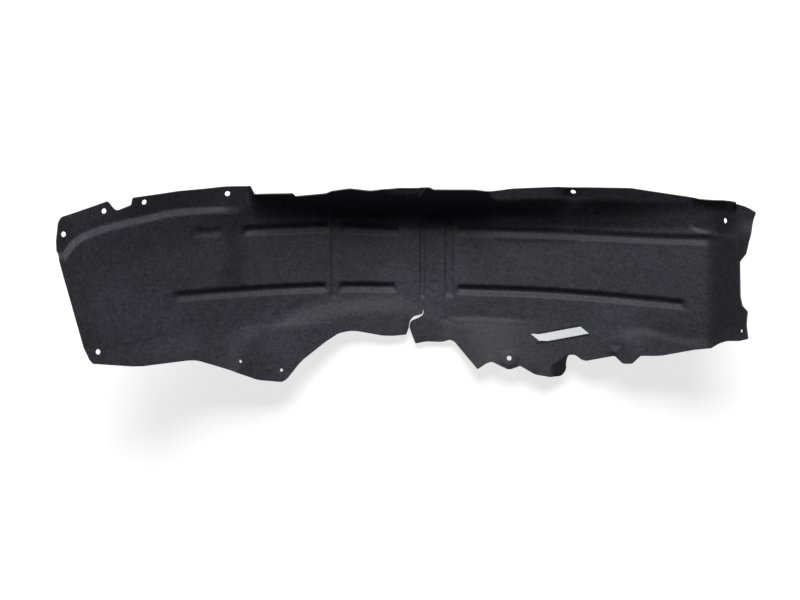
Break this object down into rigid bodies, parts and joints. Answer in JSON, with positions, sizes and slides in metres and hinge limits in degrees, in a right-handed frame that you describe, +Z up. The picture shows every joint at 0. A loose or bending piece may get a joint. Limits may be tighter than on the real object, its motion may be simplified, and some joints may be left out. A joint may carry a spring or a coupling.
{
  "type": "wheel arch liner",
  "caption": "Formed plastic wheel arch liner: a beaded arch sheet with an inner wall, a trimmed outer flange, a stepped front flange, clip holes and a blank paper label.",
  "frame": {"origin": "centre of the plan box at the lowest point, where the liner lies on the floor on its crown", "axes": "+X along the arch from its front end to its rear end, +Y across it to the inner wall, +Z up, out of the wheel side"},
  "size_m": [0.9558, 0.2858, 0.24],
  "materials": {
    "liner_sheet": "matt with a fine pressed grain",
    "label_paper": "matt coated paper, blank"
  },
  "bodies": {
    "root": {"liner": "liner_sheet", "part_label": "label_paper"}
  },
  "joints": []
}
